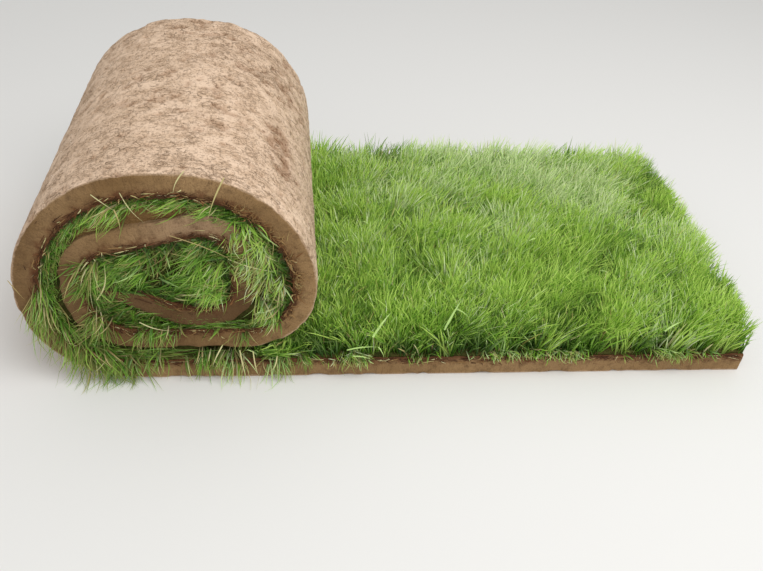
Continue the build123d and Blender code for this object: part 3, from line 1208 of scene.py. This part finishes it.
def lawnStraws():
    # pale green straws: those of the list, then lying and upright ones at random. Each is foot + run * t,
    # raised by arch * sin(pi t).
    a = strawLook
    more = a["lying"] + a["upright"]
    foot, tip = (np.array([row[k] for row in tailStraws]) for k in (0, 1))
    stands = np.arange(more) >= a["lying"]
    spotX = np.where(stands, dice.uniform(*a["uprightX"], more), dice.uniform(*a["lyingX"], more))
    spotY = np.where(stands, dice.uniform(*a["uprightY"], more), dice.uniform(*a["lyingY"], more))
    spotZ = np.where(stands, a["uprightFoot"], dice.uniform(*a["lyingFoot"], more))
    spots = np.stack([spotX, spotY, spotZ], -1)
    angle = dice.uniform(0, 2 * np.pi, more)
    reach = dice.uniform(*a["reach"], more) * np.where(stands, a["uprightReach"], 1)
    rise = np.where(stands, dice.uniform(*a["uprightRise"], more), dice.uniform(*a["lyingRise"], more))
    turn = np.stack([reach * np.cos(angle), reach * np.sin(angle), rise], -1)
    foot, tip = np.concatenate([foot, spots]), np.concatenate([tip, spots + turn])
    t = np.linspace(0, 1, a["knots"])[None, :, None]
    line = foot[:, None] + (tip - foot)[:, None] * t + np.array([0, 0, a["arch"]]) * np.sin(np.pi * t)
    line = line + np.array([stripLeft, nearFace, 0])
    width = np.concatenate([[row[2] for row in tailStraws], dice.uniform(*a["width"], more)])
    facing = unit(np.tile([0.0, -0.5, 1.0], (len(line), 1)))
    blades("lawnStraws", line, width, dice.uniform(*a["tones"], len(line)), facing, lift=0.9)


for side, end in rollEnds.items():
    paleStalks(side, end)
lawnStraws()

print("soil: root ends and dead stalks along the cut edges")
fibres = {
    "count": 2400,
    "knots": 4,
    "length": (0.004, 0.020),
    "width": (0.0006, 0.0013),
    "out": (0.0005, 0.006),
    "angleSpread": 1.1,  # in radians, from straight along the strip
    "climb": 0.35,
    "curl": 0.3,
    "under": 0.0022,  # mean depth under the soil's upper side
    # the ones that cross the soil's edge, on the side that faces the tail
    "crossingShare": 0.13,
    "crossingAngle": (-1.5, 0.9),
    "bundles": 14,
    "bundleSize": 0.005,
    "crossingClimb": 0.75,
    "crossingTones": (0.40, 0.76),
}


def edgeFibres(side, end):
    # short fibres that leave the soil just under the grass, over the whole strip: along it by length * cos a,
    # up by climb * length * sin a, bowed by curl * length * sin(pi t), and out of the face by
    # out * (t - 0.35t^2). On the side that faces the tail, some lie in bundles across the soil's cut edge.
    a = fibres
    count = a["count"]
    s = dice.uniform(0.005, stripLength - 0.03, count)
    crossing = dice.random(count) < a["crossingShare"]
    bundles = dice.uniform(starts[4] + 0.07, starts[5] + 0.05, a["bundles"])
    gathered = bundles[dice.integers(0, a["bundles"], count)] + dice.normal(0, a["bundleSize"], count)
    s = np.where(crossing, gathered, s)
    length = dice.uniform(*a["length"], count)
    angle = dice.normal(0, a["angleSpread"], count) + np.where(dice.random(count) < 0.5, 0, np.pi)
    angle = np.where(crossing, dice.normal(*a["crossingAngle"], count), angle)
    across = np.where(crossing, a["crossingClimb"], a["climb"]) * length * np.sin(angle)
    curl = dice.normal(0, a["curl"], count) * length
    t = np.linspace(0, 1, a["knots"])[None]
    thick = strip["thickness"] - 0.0005
    depth = thick - dice.exponential(a["under"], count)[:, None] + across[:, None] * t
    along = s[:, None] + (length * np.cos(angle))[:, None] * t + curl[:, None] * np.sin(np.pi * t)
    x, z, _, _ = stripPoint(np.clip(along, 0.001, stripLength), np.maximum(depth, 0.004))
    y = pastEnd(end, 0.0005 + dice.uniform(*a["out"], count)[:, None] * (t - 0.35 * t ** 2))
    width = dice.uniform(*a["width"], count)
    facing = facings(count, 0.4, [0, end, 0])
    tone = np.where(crossing, dice.uniform(*a["crossingTones"], count), dice.random(count) ** 4)
    blades("fibres" + side, np.stack([x, y, np.maximum(z, 0.001)], -1), width, tone, facing, rootFibre)


for side, end in rollEnds.items():
    edgeFibres(side, end)

print("floor, light and camera")
stageLook = {
    "floor": srgb(228, 227, 224),
    "floorHalf": 6,
    "worldStrength": 0.57,
    "keyPower": 42.0,
    "keySize": 2.0,
    "keyPlace": (0.65, -0.95, 2.1),
}


def floorAndLight():
    # a plain pale floor, an even white world and one large lamp on the right that points at the origin
    a = stageLook
    corners = [(x * a["floorHalf"], y * a["floorHalf"], 0) for x, y in ((-1, -1), (1, -1), (1, 1), (-1, 1))]
    mesh = bpy.data.meshes.new("floor")
    mesh.from_pydata(corners, [], [(0, 1, 2, 3)])
    floor = bpy.data.objects.new("floor", mesh)
    bpy.context.collection.objects.link(floor)
    p = Paint("floor")
    mesh.materials.append(p.finish(p.skin((*a["floor"], 1), 0.9, 0.1)))
    world = bpy.data.worlds.new("studio")
    bpy.context.scene.world = world
    world.use_nodes = True
    background = world.node_tree.nodes["Background"]
    background.inputs["Color"].default_value = (1, 1, 1, 1)
    background.inputs["Strength"].default_value = a["worldStrength"]
    lamp = bpy.data.lights.new("key", "AREA")
    lamp.energy, lamp.size = a["keyPower"], a["keySize"]
    key = bpy.data.objects.new("key", lamp)
    bpy.context.collection.objects.link(key)
    key.location = a["keyPlace"]
    key.rotation_euler = (-Vector(a["keyPlace"])).to_track_quat("-Z", "Y").to_euler()


floorAndLight()

view = {
    "place": (-0.1502, -0.8683, 0.6414),
    "down": math.radians(37.30),
    "turn": math.radians(8.76),
    "roll": math.radians(-5.33),
    "focalPixels": 809.9,
    "frameWidth": 763,
    "sensorWidth": 36.0,
    "clip": (0.05, 50),
}


def photoCamera():
    # stands where the photo was taken from: turned to the right, looking down, then rolled about its own axis
    data = bpy.data.cameras.new("photoCamera")
    data.sensor_fit, data.sensor_width = "HORIZONTAL", view["sensorWidth"]
    data.lens = view["focalPixels"] / view["frameWidth"] * view["sensorWidth"]
    data.clip_start, data.clip_end = view["clip"]
    camera = bpy.data.objects.new("photoCamera", data)
    bpy.context.collection.objects.link(camera)
    cosDown, sinDown = math.cos(view["down"]), math.sin(view["down"])
    cosTurn, sinTurn = math.cos(view["turn"]), math.sin(view["turn"])
    cosRoll, sinRoll = math.cos(view["roll"]), math.sin(view["roll"])
    ahead = Vector((sinTurn * cosDown, cosTurn * cosDown, -sinDown))
    right = Vector((cosTurn, -sinTurn, 0))
    below = ahead.cross(right)
    right, below = cosRoll * right + sinRoll * below, -sinRoll * right + cosRoll * below
    turned = Matrix((right, -below, -ahead)).transposed().to_4x4()
    camera.matrix_world = Matrix.Translation(view["place"]) @ turned
    bpy.context.scene.camera = camera


photoCamera()

bpy.context.scene.view_settings.view_transform = "Standard"
